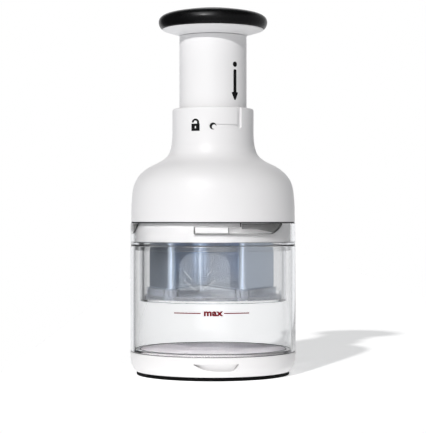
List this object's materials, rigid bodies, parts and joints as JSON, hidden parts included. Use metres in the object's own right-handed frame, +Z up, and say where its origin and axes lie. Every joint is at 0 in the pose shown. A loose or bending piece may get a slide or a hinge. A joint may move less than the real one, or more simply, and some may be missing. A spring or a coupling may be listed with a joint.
{
  "type": "vegetable chopper",
  "caption": "Press-down vegetable chopper: clear cup on a white base, zigzag blade in a clear guard, bell housing and a sprung plunger with a black knob.",
  "frame": {"origin": "on the supporting surface, under the middle of the foot ring", "axes": "+Z up along the plunger's axis; the lock window and the finger recess face -Y; +X is to the right seen from the front"},
  "size_m": [0.101, 0.101, 0.223],
  "materials": {
    "white_plastic": "glossy moulded",
    "black_rubber": "satin soft-touch",
    "clear_plastic": "polished clear",
    "milky_plastic": "frosted translucent",
    "grey_plastic": "moulded",
    "blade_steel": "polished",
    "hardware_steel": "plain"
  },
  "bodies": {
    "base": {"base": "white_plastic", "foot_ring": "black_rubber", "chopping_floor": "milky_plastic"},
    "cup": {"cup": "clear_plastic"},
    "guard": {"blade_guard": "clear_plastic"},
    "housing": {"housing": "white_plastic", "locking_ring": "white_plastic", "mechanism_plate": "white_plastic", "index_nut": "grey_plastic", "nut_keeper": "hardware_steel", "housing_screw_1": "hardware_steel", "housing_screw_2": "hardware_steel", "housing_screw_3": "hardware_steel", "neck_bush": "grey_plastic", "return_spring": "hardware_steel"},
    "wiper": {"wiper": "milky_plastic"},
    "carriage": {"thrust_washer": "grey_plastic"},
    "cutter": {"drive_shaft": "hardware_steel", "retaining_clip": "hardware_steel", "blade_carrier": "white_plastic", "carrier_screw_1": "hardware_steel", "carrier_screw_2": "hardware_steel", "blade": "blade_steel"},
    "knob": {"plunger_sleeve": "white_plastic", "knob_cap": "white_plastic", "knob_screw_1": "hardware_steel", "knob_screw_2": "hardware_steel", "knob_screw_3": "hardware_steel", "knob_pad": "black_rubber"}
  },
  "joints": [
    {"name": "cup_lift", "type": "slide", "parent": "base", "child": "cup", "axis": [0, 0, 1], "range_m": [0, 0.05]},
    {"name": "top_lift", "type": "slide", "parent": "cup", "child": "guard", "axis": [0, 0, 1], "range_m": [0, 0.065]},
    {"name": "housing_twist", "type": "hinge", "parent": "guard", "child": "housing", "pos_m": [0, 0, 0.0926], "axis": [0, 0, 1], "range_deg": [0, 33]},
    {"name": "press", "type": "slide", "parent": "housing", "child": "carriage", "axis": [0, 0, -1], "range_m": [0, 0.036], "stiffness_N_per_m": 1000, "springref_m": -0.01, "deforming": ["return_spring"]},
    {"name": "lock_twist", "type": "hinge", "parent": "carriage", "child": "knob", "pos_m": [0, 0, 0.1345], "axis": [0, 0, 1], "range_deg": [-40, 0]},
    {"name": "blade_index", "type": "hinge", "parent": "carriage", "child": "cutter", "pos_m": [0, 0, 0.0892], "axis": [0, 0, 1], "range_deg": [0, 45]},
    {"name": "wiper_index", "type": "hinge", "parent": "housing", "child": "wiper", "pos_m": [0, 0, 0.0463], "axis": [0, 0, 1], "range_deg": [0, 45]}
  ],
  "couplings": [
    {"joint": "blade_index", "follows": "press", "rad_per_m": 21.817},
    {"joint": "wiper_index", "follows": "press", "rad_per_m": 21.817}
  ]
}
